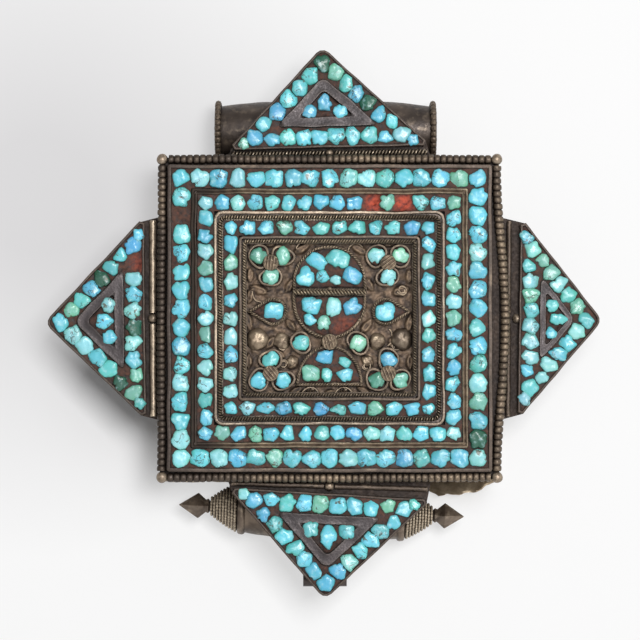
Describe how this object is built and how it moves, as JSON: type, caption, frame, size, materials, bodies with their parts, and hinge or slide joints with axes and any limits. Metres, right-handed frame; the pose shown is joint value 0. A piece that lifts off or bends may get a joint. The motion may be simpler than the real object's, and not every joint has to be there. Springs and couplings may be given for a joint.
{
  "type": "amulet box",
  "caption": "Square silver amulet box with triangular wings, channel-set turquoise face, cord tube above, ribbed spindle bar below and a lift-off front over a back tray.",
  "frame": {"origin": "middle of the back plate, on its outside", "axes": "+Z out of the decorated face, +Y towards the cord tube, +X to the right when looking at the face"},
  "size_m": [0.1107, 0.1095, 0.0219],
  "materials": {
    "silver": "oxidised silver, worn brighter on the edges",
    "turquoise": "polished turquoise, sky blue to green",
    "lac": "dark red lac"
  },
  "bodies": {
    "back": {"back_plate": "silver", "tray_band": "silver"},
    "front": {"base_wires": "silver", "bead_border": "silver", "bottom_wing_beds": "lac", "bottom_wing_box": "silver", "bottom_wing_frame": "silver", "bottom_wing_rim": "silver", "bottom_wing_stones": "turquoise", "bowl_collet": "silver", "bowl_stones": "turquoise", "case_band": "silver", "collet_beds": "lac", "cord_tube": "silver", "dome_collet": "silver", "dome_stones": "turquoise", "drop_collets": "silver", "drop_stones": "turquoise", "face_plate": "silver", "inner_row_bed": "lac", "inner_row_stones": "turquoise", "left_wing_beds": "lac", "left_wing_box": "silver", "left_wing_frame": "silver", "left_wing_rim": "silver", "left_wing_stones": "turquoise", "middle_rope": "silver", "middle_row_bed": "lac", "middle_row_stones": "turquoise", "middle_strip": "silver", "mound_collet": "silver", "mound_stones": "turquoise", "outer_row_bed": "lac", "outer_row_stones": "turquoise", "outer_strip": "silver", "panel_bosses": "silver", "panel_frame": "silver", "panel_plate": "silver", "panel_rope": "silver", "panel_studs": "silver", "right_wing_beds": "lac", "right_wing_box": "silver", "right_wing_frame": "silver", "right_wing_rim": "silver", "right_wing_stones": "turquoise", "rim_wall": "silver", "round_collet_stones": "turquoise", "round_collets": "silver", "silver_balls": "silver", "spindle_bar": "silver", "spindle_finials": "silver", "tassel_tube": "silver", "top_wing_beds": "lac", "top_wing_box": "silver", "top_wing_frame": "silver", "top_wing_rim": "silver", "top_wing_stones": "turquoise", "tube_rings": "silver", "wing_backs": "silver"}
  },
  "joints": [
    {"name": "front_lift", "type": "slide", "parent": "back", "child": "front", "axis": [0, 0, 1], "range_m": [0, 0.03]}
  ]
}
